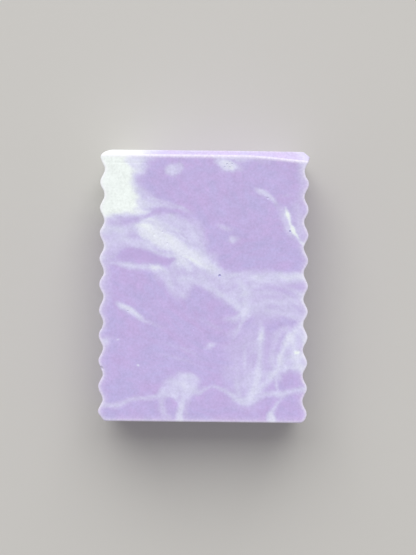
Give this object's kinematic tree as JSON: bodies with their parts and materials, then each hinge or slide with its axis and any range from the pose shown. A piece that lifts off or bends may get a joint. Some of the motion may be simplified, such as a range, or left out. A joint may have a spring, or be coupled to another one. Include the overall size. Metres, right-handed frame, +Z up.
{
  "type": "marbled soap bar",
  "caption": "Rectangular bar of marbled hand-made soap with two crinkle-cut long sides, a planed edge and white veins running through the lavender soap.",
  "frame": {"origin": "middle of the flat underside that the bar lies on", "axes": "+X across the width, between the two crinkle-cut sides; +Y along the length, towards the planed edge; +Z up out of the upper face"},
  "size_m": [0.0639, 0.0826, 0.0254],
  "materials": {
    "lavender_soap": "satin soap, lavender",
    "white_soap": "satin soap, white",
    "blended_soap": "satin soap, lavender and white blended"
  },
  "bodies": {
    "root": {"lavender_base": "lavender_soap", "white_corner": "white_soap", "corner_tongue": "blended_soap", "white_plume": "white_soap", "plume_shoulder": "blended_soap", "left_haze": "blended_soap", "left_arc": "white_soap", "mid_plume": "blended_soap", "right_cloud": "blended_soap", "plume_knot": "white_soap", "right_stem": "white_soap", "right_fan": "blended_soap", "bottom_cap": "blended_soap", "bottom_thread_left": "blended_soap", "bottom_thread_mid": "blended_soap", "bottom_thread_right": "blended_soap", "corner_tail": "blended_soap", "left_streak": "white_soap", "upper_streak": "blended_soap", "right_streak": "white_soap", "top_drop_left": "blended_soap", "top_drop_right": "white_soap"}
  },
  "joints": []
}
